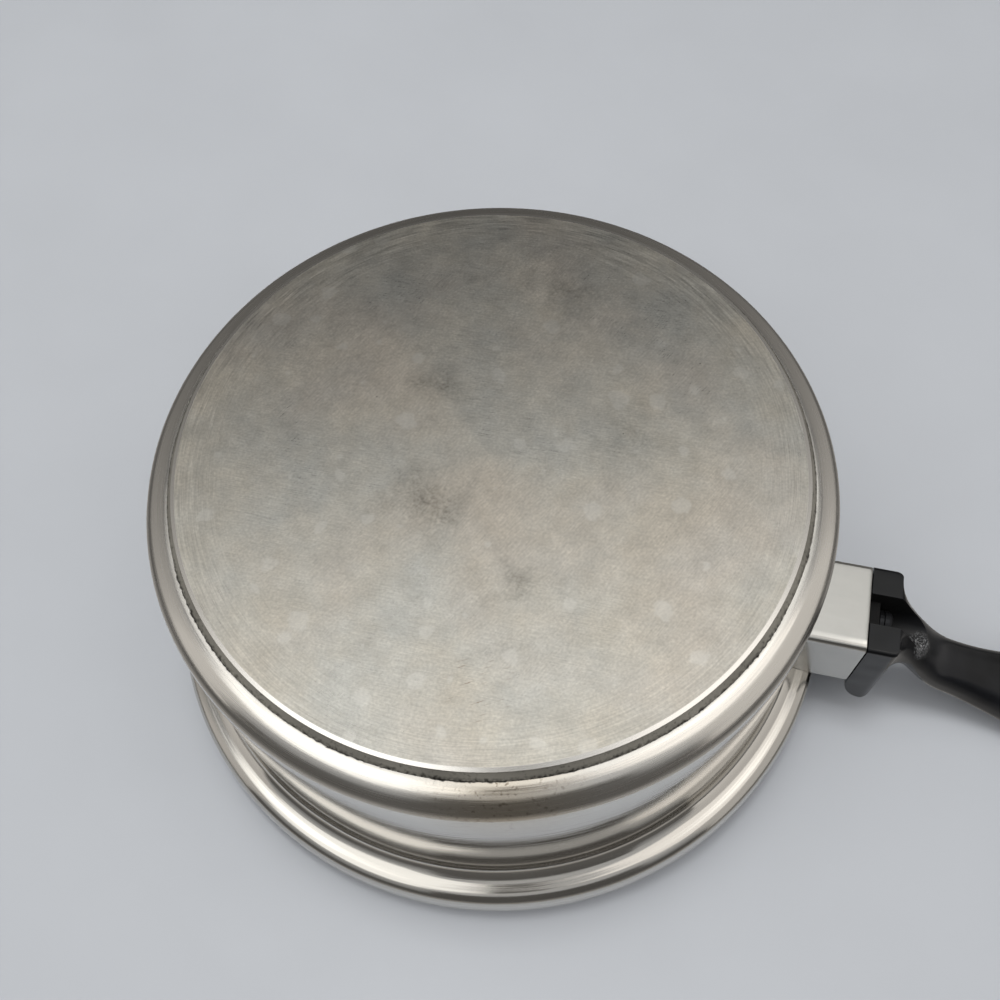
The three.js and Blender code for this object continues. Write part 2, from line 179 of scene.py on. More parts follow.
class SaucepanStage(bpy.types.PropertyGroup):
    """Floor, light and camera."""

    floor: colour("Floor", "Pale matt board under the pan", "B8BCC3")
    ceiling: level("Ceiling", "Brightness overhead", 0.52)
    horizon: level("Horizon", "Brightness of the room at eye level", 0.12)
    window: level("Window", "Brightness of the soft boxes", 1.35)
    lens: bpy.props.FloatProperty(
        name="Lens", description="Focal length on a 36 mm frame", default=39.6, min=1, unit="CAMERA"
    )


# Surfaces


def arc(centre, radius, start, end, count):
    """Points about a centre at even angles in degrees: centre plus radius times the cosine and sine
    of the angle."""
    angle = np.radians(np.linspace(start, end, count))
    return np.asarray(centre) + radius * np.stack([np.cos(angle), np.sin(angle)], axis=1)


def line(start, end, count):
    """Evenly spaced points from one point to another, both included."""
    return np.linspace(np.asarray(start, float), np.asarray(end, float), count)


def joined(*runs):
    """One path out of several runs of points, with a point that two runs share kept once."""
    path = np.concatenate(runs)
    step = np.linalg.norm(np.diff(path, axis=0), axis=1)
    return path[np.r_[True, step > SAME_POINT]]


def turned(profile):
    """Grid of a profile of radius and height turned about Z: radius times cosine, radius times
    sine, minus height."""
    angle = np.linspace(0, 2 * np.pi, ROUND_STEPS, endpoint=False)
    radius, height = profile[:, :1], profile[:, 1:]
    flat = np.zeros_like(angle)
    return np.stack([radius * np.cos(angle), radius * np.sin(angle), flat - height], axis=-1)


def path_length(profile):
    """Distance along a profile from its first point: the running sum of its steps."""
    step = np.linalg.norm(np.diff(profile, axis=0), axis=1)
    return np.r_[0, np.cumsum(step)]


def grid_piece(name, grid, looped=False, values=None, sharp=40):
    """Mesh object of a grid of points whose rows are closed rings. Looped joins the last row to the
    first, and otherwise open ends are filled. Values gives one number a row, kept as the point
    attribute 'profile'."""
    rows, ring = grid.shape[:2]
    index = np.arange(rows * ring).reshape(rows, ring)
    near = index if looped else index[:-1]
    far = np.roll(index, -1, axis=0) if looped else index[1:]
    corners = [near, np.roll(near, -1, axis=1), np.roll(far, -1, axis=1), far]
    faces = np.stack(corners, axis=-1).reshape(-1, 4)
    mesh = bpy.data.meshes.new(name)
    mesh.from_pydata(grid.reshape(-1, 3).tolist(), [], faces.tolist())
    if values is not None:
        attribute = mesh.attributes.new("profile", "FLOAT", "POINT")
        attribute.data.foreach_set("value", np.repeat(values, ring).astype(np.float32))
    shape = bmesh.new()
    shape.from_mesh(mesh)
    bmesh.ops.remove_doubles(shape, verts=shape.verts, dist=WELD)
    bmesh.ops.holes_fill(shape, edges=[edge for edge in shape.edges if edge.is_boundary])
    bmesh.ops.recalc_face_normals(shape, faces=shape.faces)
    shape.to_mesh(mesh)
    shape.free()
    mesh.shade_smooth()
    mesh.set_sharp_from_angle(angle=math.radians(sharp))
    piece = bpy.data.objects.new(name, mesh)
    bpy.context.scene.collection.objects.link(piece)
    return piece


def sheet(name, grid):
    """Mesh of an open grid of points."""
    index = np.arange(grid.shape[0] * grid.shape[1]).reshape(grid.shape[:2])
    faces = np.stack([index[:-1, :-1], index[1:, :-1], index[1:, 1:], index[:-1, 1:]], axis=-1)
    mesh = bpy.data.meshes.new(name)
    mesh.from_pydata(grid.reshape(-1, 3).tolist(), [], faces.reshape(-1, 4).tolist())
    return mesh


def cut(piece, cutters, sharp=35):
    """The piece less each cutter. The result becomes the piece's own mesh, and the cutters are
    removed."""
    for cutter in cutters:
        hollow = piece.modifiers.new(cutter.name, "BOOLEAN")
        hollow.object = cutter
        hollow.solver = "EXACT"
    graph = bpy.context.evaluated_depsgraph_get()
    mesh = bpy.data.meshes.new_from_object(piece.evaluated_get(graph))
    piece.modifiers.clear()
    old, piece.data = piece.data, mesh
    bpy.data.meshes.remove(old)
    for cutter in cutters:
        bpy.data.objects.remove(cutter)
    mesh.shade_smooth()
    mesh.set_sharp_from_angle(angle=math.radians(sharp))


def dress(piece, material, node=None):
    """Gives a piece its material and slot, and lets it ride the pan in place of a CAD node."""
    piece.data.materials.clear()
    piece.data.materials.append(material)
    if node:
        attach(piece, "root")
        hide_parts(node)


# Materials

IN_COLOUR = {"data_type": "RGBA", "out": 2}  # for a node that mixes colours


def fresh(name):
    """A new material, and the function that adds nodes to its emptied tree."""
    material = bpy.data.materials.new(name)
    material.use_nodes = True
    material.node_tree.nodes.clear()
    return material, partial(add_node, material.node_tree)


def add_node(tree, kind, inputs=(), out=0, **settings):
    """Adds a node with its settings and gives one of its outputs. Each input takes a link where a
    socket is given, and a value otherwise."""
    node = tree.nodes.new("ShaderNode" + kind)
    for name, value in settings.items():
        setattr(node, name, value)
    for key, value in dict(inputs).items():
        if isinstance(value, bpy.types.NodeSocket):
            tree.links.new(value, node.inputs[key])
        else:
            node.inputs[key].default_value = value
    return node.outputs[out] if node.outputs else None


def every(millimetres):
    """Texture scale that repeats a feature at this size, for coordinates in metres."""
    return 1 / (millimetres * MM)


def polished_stainless(look):
    """Drawn stainless sheet, buffed on a lathe. The buffing leaves hair lines that run round the
    pan, so the wall mirrors the floor while highlights on the bends smear into long streaks."""
    material, add = fresh("Stainless sheet, lathe polished")
    place = add("TexCoord", out="Object")
    profile = add("Attribute", attribute_name="profile", out="Fac")
    flat = add("VectorMath", {0: place, 1: (1, 1, 0)}, operation="MULTIPLY")
    ring = add("VectorMath", {0: flat}, operation="NORMALIZE")
    # Hair lines about 20 mm long. Real ones are finer than a tenth of a millimetre, drawn here at
    # 0.35 mm to show.
    around = add("VectorMath", {0: ring, "Scale": 5.0}, operation="SCALE")
    lane = add("Math", {0: profile, 1: 1 / 0.35}, operation="MULTIPLY")
    up = add("CombineXYZ", {"Z": lane})
    groove = add("VectorMath", {0: around, 1: up}, operation="ADD")
    hair = add("TexNoise", {"Vector": groove, "Scale": 1.0, "Detail": 3.0})
    # Faint waves left by the forming roller, about 1.6 mm apart, the same all the way round.
    wave = add("TexNoise", {"W": profile, "Scale": 1 / 1.6, "Detail": 1.0}, noise_dimensions="1D")
    smudge = add("TexNoise", {"Vector": place, "Scale": every(28), "Detail": 4.0})
    # The straight wall is the brightest polish; the bends above and below it are duller. Heights
    # are in metres, and negative below the base face.
    height = add("SeparateXYZ", {0: place}, out="Z")
    low = add("MapRange", {0: height, 1: -0.080, 2: -0.066, 3: 1.0, 4: 0.0})
    high = add("MapRange", {0: height, 1: -0.014, 2: -0.009, 3: 0.0, 4: 1.0})
    bend = add("Math", {0: low, 1: high}, operation="ADD")
    dull = add("MapRange", {0: bend, 3: 0.05, 4: 0.19})
    worn = add("MapRange", {0: hair, 1: 0.35, 2: 0.7, 3: -0.04, 4: 0.1})
    stroked = add("Math", {0: dull, 1: worn}, operation="ADD")
    cloudy = add("MapRange", {0: smudge, 1: 0.4, 2: 0.7, 3: 0.0, 4: 0.04})
    rough = add("Math", {0: stroked, 1: cloudy}, operation="ADD")
    # Burnt-on dirt in the crevice round the base, ragged towards the corner.
    speck = add("TexNoise", {"Vector": place, "Scale": every(1.4), "Detail": 3.0})
    patch = add("TexNoise", {"Vector": place, "Scale": every(22), "Detail": 2.0})
    ragged = add("MapRange", {0: speck, 1: 0.35, 2: 0.75, 3: -0.15, 4: 0.3})
    reach = add("MapRange", {0: patch, 1: 0.44, 2: 0.66, 3: 86.3, 4: 86.75})
    edge = add("Math", {0: reach, 1: ragged}, operation="ADD")
    gap = add("Math", {0: edge, 1: profile}, operation="SUBTRACT")
    crevice = add("MapRange", {0: gap, 1: -0.15, 2: 0.15})
    # Heat tint and brown specks where the flame licked the front corner.
    away = add(
        "VectorMath", {0: place, 1: (0.024, -0.090, -0.006)}, operation="DISTANCE", out="Value"
    )
    near = add("MapRange", {0: away, 1: 0.004, 2: 0.024, 3: 1.0, 4: 0.0})
    fleck = add("TexNoise", {"Vector": place, "Scale": every(1.1), "Detail": 4.0})
    burnt = add("MapRange", {0: fleck, 1: 0.58, 2: 0.72, 3: 0.0, 4: 0.7})
    singed = add("Math", {0: near, 1: burnt}, operation="MULTIPLY")
    tint = add("Math", {0: near, 1: 0.35}, operation="MULTIPLY")
    warm = add("Mix", {0: tint, 6: look.polished, 7: linear("B39C72")}, **IN_COLOUR)
    browned = add("Mix", {0: singed, 6: warm, 7: linear("5A4426")}, **IN_COLOUR)
    # Painted shade: where the wall turns out into the rim, the colour is darkened up to a quarter
    # of the way to the grime colour, as a painted dark reflection.
    above = add("MapRange", {0: height, 1: -0.0722, 2: -0.0738})
    below = add("MapRange", {0: height, 1: -0.0762, 2: -0.0785, 3: 0.25, 4: 0.0})
    hollow_dark_band = add("Math", {0: above, 1: below}, operation="MULTIPLY")
    with_dark_band = add("Mix", {0: hollow_dark_band, 6: browned, 7: look.grime_and_shade}, **IN_COLOUR)
    base = add("Mix", {0: crevice, 6: with_dark_band, 7: look.grime_and_shade}, **IN_COLOUR)
    shine = add("MapRange", {0: crevice, 3: 1.0, 4: 0.1})
    soiled = add("Mix", {0: crevice, 2: rough, 3: 0.8})
    roll = add("MapRange", {0: bend, 3: 0.03, 4: 0.16})
    ripple = add("Bump", {"Strength": roll, "Distance": 0.00022, "Height": wave})
    keen = add("MapRange", {0: bend, 3: 0.01, 4: 0.16})
    scored = add("Bump", {"Strength": keen, "Distance": 0.00006, "Height": hair, "Normal": ripple})
    surface = add(
        "BsdfPrincipled",
        {"Base Color": base, "Metallic": shine, "Roughness": soiled, "Normal": scored},
    )
    add("OutputMaterial", {"Surface": surface})
    return material


def satin_stainless(look):
    """Stainless plate, belt ground and then scoured for years. It scatters the room into a soft
    grey sheen that is blotched by heat, ringed by dried water and crossed by fine scratches in
    every direction."""
    material, add = fresh("Stainless plate, worn satin")
    place = add("TexCoord", out="Object")
    # Grinding lines along the handle's line, about 5 mm long; real grit lines of 0.1 mm are drawn
    # at 0.3 mm to show.
    belt = add(
        "Mapping", {"Vector": place, "Scale": (5 * MM, 0.3 * MM, 1.0)}, vector_type="TEXTURE"
    )
    ground = add("TexNoise", {"Vector": belt, "Scale": 1.0, "Detail": 3.0})
    skew = add(
        "Mapping",
        {"Vector": place, "Rotation": (0, 0, math.radians(62)), "Scale": (3.6 * MM, 0.3 * MM, 1.0)},
        vector_type="TEXTURE",
    )
    scour = add("TexNoise", {"Vector": skew, "Scale": 1.0, "Detail": 3.0})
    swap = add("TexNoise", {"Vector": place, "Scale": every(45), "Detail": 2.0})
    choice = add("MapRange", {0: swap, 1: 0.4, 2: 0.6, 3: 0.2, 4: 0.8})
    crossed = add("Mix", {0: choice, 2: ground, 3: scour})
    # Towards the edge the lines run round the plate.
    radius = add("VectorMath", {0: place}, operation="LENGTH", out="Value")
    ring = add("VectorMath", {0: place}, operation="NORMALIZE")
    around = add("VectorMath", {0: ring, "Scale": 9.0}, operation="SCALE")
    lane = add("Math", {0: radius, 1: every(0.4)}, operation="MULTIPLY")
    track = add("CombineXYZ", {"Z": lane})
    groove = add("VectorMath", {0: around, 1: track}, operation="ADD")
    turned_line = add("TexNoise", {"Vector": groove, "Scale": 1.0, "Detail": 3.0})
    outer = add("MapRange", {0: radius, 1: 0.066, 2: 0.080})
    grain = add("Mix", {0: outer, 2: crossed, 3: turned_line})
    cloud = add("TexNoise", {"Vector": place, "Scale": every(34), "Detail": 5.0, "Roughness": 0.6})
    mottle = add("TexNoise", {"Vector": place, "Scale": every(7), "Detail": 5.0, "Roughness": 0.65})
    # Dried drops: faint pale spots up to 6 mm across, in about half of the cells.
    shift = add("TexNoise", {"Vector": place, "Scale": every(4), "Detail": 3.0}, out="Color")
    stir = add("VectorMath", {0: shift, "Scale": 0.004}, operation="SCALE")
    bent = add("VectorMath", {0: place, 1: stir}, operation="ADD")
    drops = add(
        "TexVoronoi", {"Vector": bent, "Scale": every(11)}, voronoi_dimensions="2D"
    ).node.outputs
    luck = add("SeparateColor", {0: drops["Color"]})
    size = add("MapRange", {0: luck, 1: 0.45, 2: 1.0, 3: 0.0, 4: 0.28})
    inside = add("Math", {0: size, 1: drops["Distance"]}, operation="SUBTRACT")
    spot = add("MapRange", {0: inside, 1: 0.0, 2: 0.06})
    # Stains: soft speckled patches, pulled out of shape by up to 12 mm either way. Their centres
    # allow for the pull's mean of 12 mm.
    pull = add("TexNoise", {"Vector": place, "Scale": every(10), "Detail": 4.0}, out="Color")
    drawn = add("VectorMath", {0: pull, 1: (0.024, 0.024, 0), 2: place}, operation="MULTIPLY_ADD")
    stain = None
    for centre, reach, weight in (
        ((-0.0015, -0.0055, 0), 0.0135, 1.0),
        ((-0.0055, 0.0315, 0), 0.0105, 0.8),
        ((0.0265, -0.0235, 0), 0.0065, 0.9),
        ((0.0480, 0.0240, 0), 0.0140, 0.5),
        ((0.0235, 0.0675, 0), 0.0090, 0.7),
    ):
        away = add("VectorMath", {0: drawn, 1: centre}, operation="DISTANCE", out="Value")
        core = add("MapRange", {0: away, 1: 0.0, 2: reach, 3: weight, 4: 0.0})
        stain = add("Math", {0: stain, 1: core}, operation="MAXIMUM") if stain else core
    grit = add("TexNoise", {"Vector": place, "Scale": every(1.3), "Detail": 5.0, "Roughness": 0.7})
    dotted = add("MapRange", {0: grit, 1: 0.42, 2: 0.64, 3: 0.35, 4: 1.0})
    soot = add("Math", {0: stain, 1: dotted}, operation="MULTIPLY")
    # Pits: single black points a few tenths of a millimetre wide.
    pocks = add(
        "TexVoronoi", {"Vector": place, "Scale": every(17)}, voronoi_dimensions="2D"
    ).node.outputs
    chance = add("SeparateColor", {0: pocks["Color"]})
    width = add("MapRange", {0: chance, 1: 0.7, 2: 1.0, 3: 0.0, 4: 0.013})
    depth = add("Math", {0: width, 1: pocks["Distance"]}, operation="SUBTRACT")
    pit = add("MapRange", {0: depth, 1: 0.0, 2: 0.006, 3: 0.0, 4: 0.8})
    # Reddish scuffs near the front edge, strokes about 5 mm long.
    slant = add(
        "Mapping",
        {"Vector": place, "Rotation": (0, 0, math.radians(30)), "Scale": (5 * MM, 0.4 * MM, 1.0)},
        vector_type="TEXTURE",
    )
    stroke = add("TexNoise", {"Vector": slant, "Scale": 1.0, "Detail": 3.0})
    apart = add("VectorMath", {0: place, 1: (0.0125, -0.064, 0)}, operation="DISTANCE", out="Value")
    close = add("MapRange", {0: apart, 1: 0.003, 2: 0.012, 3: 1.0, 4: 0.0})
    scratch = add("MapRange", {0: stroke, 1: 0.64, 2: 0.71})
    scuff = add("Math", {0: close, 1: scratch}, operation="MULTIPLY")
    # Colour: warm where heat has tinted the steel, cool where it has not.
    heat = add("MapRange", {0: cloud, 1: 0.36, 2: 0.64})
    tinted = add("Mix", {0: heat, 6: linear("C3C2BC"), 7: look.satin}, **IN_COLOUR)
    blush = add("MapRange", {0: swap, 1: 0.45, 2: 0.65, 3: 0.0, 4: 0.3})
    rosy = add("Mix", {0: blush, 6: tinted, 7: linear("CBBFB3")}, **IN_COLOUR)
    patchy = add("MapRange", {0: mottle, 1: 0.3, 2: 0.7, 3: 0.84, 4: 1.06})
    lines = add("MapRange", {0: grain, 1: 0.3, 2: 0.7, 3: 0.85, 4: 1.13})
    fuzz = add("TexNoise", {"Vector": place, "Scale": every(0.7), "Detail": 2.0})
    felted = add("MapRange", {0: fuzz, 1: 0.3, 2: 0.7, 3: 0.9, 4: 1.1})
    even = add("Math", {0: patchy, 1: lines}, operation="MULTIPLY")
    toned = add("Math", {0: even, 1: felted}, operation="MULTIPLY")
    shaded = add("VectorMath", {0: rosy, "Scale": toned}, operation="SCALE")
    pale = add("Math", {0: spot, 1: 0.32}, operation="MULTIPLY")
    ringed = add("Mix", {0: pale, 6: shaded, 7: linear("DCDAD4")}, **IN_COLOUR)
    deep = add("Math", {0: soot, 1: 0.62}, operation="MULTIPLY")
    sooted = add("Mix", {0: deep, 6: ringed, 7: linear("4A463E")}, **IN_COLOUR)
    reddish = add("Mix", {0: scuff, 6: sooted, 7: linear("7C6251")}, **IN_COLOUR)
    pitted = add("Mix", {0: pit, 6: reddish, 7: look.grime_and_shade}, **IN_COLOUR)
    # The sloping edge is rubbed by hobs, and its colour is painted brighter than the steel: a
    # painted highlight along the edge.
    rim = look.base_radius - look.cap_edge
    rubbed_edge_highlight = add("MapRange", {0: radius, 1: rim - 0.1 * MM, 2: rim + 0.1 * MM})
    base = add("Mix", {0: rubbed_edge_highlight, 6: pitted, 7: linear("E6E4DF")}, **IN_COLOUR)
    coarse = add("MapRange", {0: cloud, 1: 0.3, 2: 0.7, 3: 0.28, 4: 0.38})
    lined = add("MapRange", {0: grain, 1: 0.3, 2: 0.7, 3: -0.05, 4: 0.06})
    scoured = add("Math", {0: coarse, 1: lined}, operation="ADD")
    rough = add("Mix", {0: rubbed_edge_highlight, 2: scoured, 3: 0.26})
    scored = add("Bump", {"Strength": 0.06, "Distance": 0.0001, "Height": grain})
    surface = add(
        "BsdfPrincipled",
        {"Base Color": base, "Metallic": 1.0, "Roughness": rough, "Normal": scored},
    )
    add("OutputMaterial", {"Surface": surface})
    return material


def bare_aluminium(look):
    """Sawn aluminium edge, greyed by the dishwasher: dull, finely pocked, with dirt gathered at the
    pan's side."""
    material, add = fresh("Aluminium, bare and greyed")
    place = add("TexCoord", out="Object")
    pocks = add("TexNoise", {"Vector": place, "Scale": every(0.9), "Detail": 4.0})
    drift = add("TexNoise", {"Vector": place, "Scale": every(18), "Detail": 2.0})
    height = add("SeparateXYZ", {0: place}, out="Z")
    foot = add("MapRange", {0: height, 1: -0.0029, 2: -0.0019, 3: 1.0, 4: 0.0})
    rag = add("MapRange", {0: pocks, 1: 0.35, 2: 0.62, 3: 0.0, 4: 1.3})
    dirt = add("Math", {0: foot, 1: rag}, operation="MULTIPLY", use_clamp=True)
    patch = add("MapRange", {0: drift, 1: 0.35, 2: 0.65, 3: 0.8, 4: 1.12})
    shaded = add("VectorMath", {0: look.aluminium[:3], "Scale": patch}, operation="SCALE")
    fleck = add("MapRange", {0: pocks, 1: 0.58, 2: 0.72, 3: 0.0, 4: 0.55})
    pitted = add("Mix", {0: fleck, 6: shaded, 7: linear("35332E")}, **IN_COLOUR)
    base = add("Mix", {0: dirt, 6: pitted, 7: look.grime_and_shade}, **IN_COLOUR)
    rough = add("MapRange", {0: pocks, 1: 0.3, 2: 0.7, 3: 0.48, 4: 0.68})
    dented = add("Bump", {"Strength": 0.35, "Distance": 0.00012, "Height": pocks})
    surface = add(
        "BsdfPrincipled",
        {"Base Color": base, "Metallic": 0.75, "Roughness": rough, "Normal": dented},
    )
    add("OutputMaterial", {"Surface": surface})
    return material


def guard_stainless(look):
    """Pressed stainless sheet with a fine satin: soft mirror of the floor, faint lines along the
    sleeve."""
    material, add = fresh("Stainless sheet, fine satin")
    place = add("TexCoord", out="Object")
    # Rolling lines about 12 mm long; real ones are far below 0.1 mm, drawn at 0.3 mm to show.
    rolled = add(
        "Mapping", {"Vector": place, "Scale": (12 * MM, 0.3 * MM, 0.3 * MM)}, vector_type="TEXTURE"
    )
    hair = add("TexNoise", {"Vector": rolled, "Scale": 1.0, "Detail": 2.0})
    smear = add("TexNoise", {"Vector": place, "Scale": every(9), "Detail": 3.0})
    tone = add("MapRange", {0: smear, 1: 0.3, 2: 0.7, 3: 0.94, 4: 1.04})
    base = add("VectorMath", {0: look.guard[:3], "Scale": tone}, operation="SCALE")
    fine = add("MapRange", {0: smear, 1: 0.3, 2: 0.7, 3: 0.15, 4: 0.23})
    lined = add("MapRange", {0: hair, 1: 0.3, 2: 0.7, 3: -0.02, 4: 0.03})
    rough = add("Math", {0: fine, 1: lined}, operation="ADD")
    # The pressed faces are not quite flat: waves of about 11 mm.
    wave = add("TexNoise", {"Vector": place, "Scale": every(11), "Detail": 1.0})
    buckle = add("Bump", {"Strength": 0.12, "Distance": 0.0006, "Height": wave})
    # One long edge is rolled over by up to 25 degrees.
    across = add("SeparateXYZ", {0: place}, out="Y")
    brink = add("MapRange", {0: across, 1: -0.0100, 2: -0.0138})
    drop = add("Math", {0: brink, 1: brink}, operation="MULTIPLY")
    rolled_over = add("Bump", {"Distance": 0.0009, "Height": drop, "Normal": buckle}, invert=True)
    scored = add(
        "Bump", {"Strength": 0.05, "Distance": 0.00005, "Height": hair, "Normal": rolled_over}
    )
    surface = add(
        "BsdfPrincipled",
        {"Base Color": base, "Metallic": 1.0, "Roughness": rough, "Normal": scored},
    )
    add("OutputMaterial", {"Surface": surface})
    return material


def moulded_phenolic(look):
    """Black phenolic, hot moulded. It leaves the mould glossy and dulls with washing, so highlights
    are soft. At the end of the screw slot the skin has worn through: the pale specks there are
    partly the filler and partly painted glints."""
    material, add = fresh("Phenolic, moulded black, worn")
    place = add("TexCoord", out="Object")
    bloom = add("TexNoise", {"Vector": place, "Scale": every(16), "Detail": 4.0})
    skin = add("TexNoise", {"Vector": place, "Scale": every(0.7), "Detail": 3.0})
    faded = add("MapRange", {0: bloom, 1: 0.35, 2: 0.7})
    greyed = add("Mix", {0: faded, 6: look.phenolic, 7: linear("15161A")}, **IN_COLOUR)
    # Worn patch at the end of the slot: rougher and pitted, with pale specks that are partly filler
    # and partly painted glints.
    away = add(
        "VectorMath", {0: place, 1: (0.1308, -0.0026, -0.0625)}, operation="DISTANCE", out="Value"
    )
    near = add("MapRange", {0: away, 1: 0.0018, 2: 0.0052, 3: 1.0, 4: 0.0})
    grit = add("TexNoise", {"Vector": place, "Scale": every(0.55), "Detail": 4.0, "Roughness": 0.7})
    pale_specks = add("MapRange", {0: grit, 1: 0.5, 2: 0.64})
    filler_and_glint = add("Math", {0: near, 1: pale_specks}, operation="MULTIPLY")
    base = add("Mix", {0: filler_and_glint, 6: greyed, 7: linear("D0D1D4")}, **IN_COLOUR)
    # The slot's inside was never polished: a dull black, its colour painted darker still as painted
    # shade in the recess.
    spot = add("SeparateXYZ", {0: place}).node.outputs
    side = add("Math", {0: spot["Y"]}, operation="ABSOLUTE")
    within = add("Math", {0: side, 1: 0.0049}, operation="LESS_THAN")
    under = add("Math", {0: spot["Z"], 1: -0.0505}, operation="LESS_THAN")
    before = add("MapRange", {0: spot["X"], 1: 0.119, 2: 0.134, 3: 1.0, 4: 0.0})
    both = add("Math", {0: within, 1: under}, operation="MULTIPLY")
    slot = add("Math", {0: both, 1: before}, operation="MULTIPLY")
    inner = add("Mix", {0: slot, 6: base, 7: linear("060607")}, **IN_COLOUR)
    gloss = add("MapRange", {0: bloom, 1: 0.3, 2: 0.7, 3: 0.12, 4: 0.25})
    torn_rough = add("Mix", {0: near, 2: gloss, 3: 0.5})
    rough = add("Mix", {0: slot, 2: torn_rough, 3: 0.65})
    # The skin sinks a little over thick places as it cures: waves of about 13 mm.
    wave = add("TexNoise", {"Vector": place, "Scale": every(13), "Detail": 1.0})
    sunken = add("Bump", {"Strength": 0.4, "Distance": 0.0012, "Height": wave})
    orange = add("Bump", {"Strength": 0.06, "Distance": 0.0001, "Height": skin, "Normal": sunken})
    torn = add("Math", {0: near, 1: grit}, operation="MULTIPLY")
    pitted = add("Bump", {"Strength": 0.6, "Distance": 0.0006, "Height": torn, "Normal": orange})
    surface = add(
        "BsdfPrincipled",
        {
            "Base Color": inner,
            "Roughness": rough,
            "IOR": 1.55,
            "Specular IOR Level": 0.26,
            "Normal": pitted,
        },
    )
    add("OutputMaterial", {"Surface": surface})
    return material


def coated_steel(name, tone, lustre, metal):
    """Steel under a thin coat: the coat's tone, clouded a little, over a fine grain."""
    material, add = fresh(name)
    place = add("TexCoord", out="Object")
    cloud = add("TexNoise", {"Vector": place, "Scale": every(3), "Detail": 4.0})
    grain = add("TexNoise", {"Vector": place, "Scale": every(0.5), "Detail": 2.0})
    patch = add("MapRange", {0: cloud, 1: 0.3, 2: 0.7, 3: 0.8, 4: 1.1})
    base = add("VectorMath", {0: tone[:3], "Scale": patch}, operation="SCALE")
    rough = add("MapRange", {0: cloud, 1: 0.3, 2: 0.7, 3: lustre - 0.06, 4: lustre + 0.08})
    bump = add("Bump", {"Strength": 0.15, "Distance": 0.00008, "Height": grain})
    surface = add(
        "BsdfPrincipled",
        {"Base Color": base, "Metallic": metal, "Roughness": rough, "Normal": bump},
    )
    add("OutputMaterial", {"Surface": surface})
    return material


def matt_board(look):
    """Pale painted board: an even matt with the faintest mottle."""
    material, add = fresh("Board, matt paint")
    place = add("TexCoord", out="Object")
    mottle = add("TexNoise", {"Vector": place, "Scale": every(60), "Detail": 4.0})
    tone = add("MapRange", {0: mottle, 1: 0.3, 2: 0.7, 3: 0.98, 4: 1.02})
    base = add("VectorMath", {0: look.floor[:3], "Scale": tone}, operation="SCALE")
    surface = add("BsdfPrincipled", {"Base Color": base, "Roughness": 0.75})
    add("OutputMaterial", {"Surface": surface})
    return material


# Shapes of the pan


def vessel_skin(look, out):
    """Profile of the vessel's sheet, a distance out from its outside face, as radius and height:
    the flat bottom, a quarter circle, the straight wall, a hollow arc, the sloping ledge, a full
    arc and the upright collar."""
    slope = math.degrees(look.ledge_slope)
    bends = (look.rim_radius - look.wall_radius - look.ledge) / (1 - math.cos(look.ledge_slope))
    inner, outer = look.hollow * bends, (1 - look.hollow) * bends
    rise = bends * math.sin(look.ledge_slope) + look.ledge / math.tan(look.ledge_slope)
    ledge_end = look.height - look.collar
    ledge_start = ledge_end - rise
    round_centre = look.wall_radius - look.corner_radius, look.bottom + look.corner_radius
    bottom = line((0, look.bottom - out), (round_centre[0], look.bottom - out), 14)
    corner = arc(round_centre, look.corner_radius + out, -90, 0, 36)
    hollow = arc((look.wall_radius + inner, ledge_start), inner - out, 180, 180 - slope, 26)
    full = arc((look.rim_radius - outer, ledge_end), outer + out, -slope, 0, 26)
    wall = line(corner[-1], hollow[0], 12)
    ledge = line(hollow[-1], full[0], 6)
    collar = line(full[-1], (look.rim_radius + out, look.height - look.sheet / 2), 5)
    return joined(bottom, corner, wall, hollow, ledge, full, collar)


def course(stations, distance):
    """Smooth curve through stations of distance and value: a cubic between stations whose slope at
    each is the harmonic mean of the rises before and after it, or level where these differ in sign,
    so it never overshoots."""
    at, value = np.array(stations).T
    rise = np.diff(value) / np.diff(at)
    before, after = np.r_[rise[:1], rise], np.r_[rise, rise[-1:]]
    agree = before * after > 0
    slope = np.where(agree, 2 * before * after / np.where(agree, before + after, 1), 0)
    i = np.clip(np.searchsorted(at, distance) - 1, 0, len(at) - 2)
    run = at[i + 1] - at[i]
    t = (distance - at[i]) / run
    blend = t * t * (3 - 2 * t)
    lean = t * (1 - t) * ((1 - t) * slope[i] - t * slope[i + 1])
    return value[i] + (value[i + 1] - value[i]) * blend + lean * run


def fall(passed):
    """Share by which a quarter ellipse has fallen: one less the root of one less the square of the
    share passed."""
    t = np.clip(passed, 0, 1)
    return 1 - np.sqrt(1 - t * t)


def rounded_sections(across, low, high, above, below, steps):
    """Rounded rectangles, one a row, as Y and height: four quarter circles, two with the upper and
    two with the lower bend, centred one bend in from the corners."""
    quarter = np.linspace(0, np.pi / 2, steps)
    upper, lower = (high - above, above), (low + below, below)
    corners = ((1, *upper), (-1, *upper), (-1, *lower), (1, *lower))
    runs = [
        np.stack(
            [
                (side * (across - bend))[:, None] + bend[:, None] * np.cos(quarter + k * np.pi / 2),
                centre[:, None] + bend[:, None] * np.sin(quarter + k * np.pi / 2),
            ],
            axis=-1,
        )
        for k, (side, centre, bend) in enumerate(corners)
    ]
    return np.concatenate(runs, axis=1)


def along_x(sections, x):
    """Grid of sections of Y and height set at distances along X, with height counted down from the
    base face."""
    x = np.broadcast_to(np.asarray(x, float).reshape(len(sections), -1), sections.shape[:2])
    return np.stack([x, sections[..., 0], -sections[..., 1]], axis=-1)


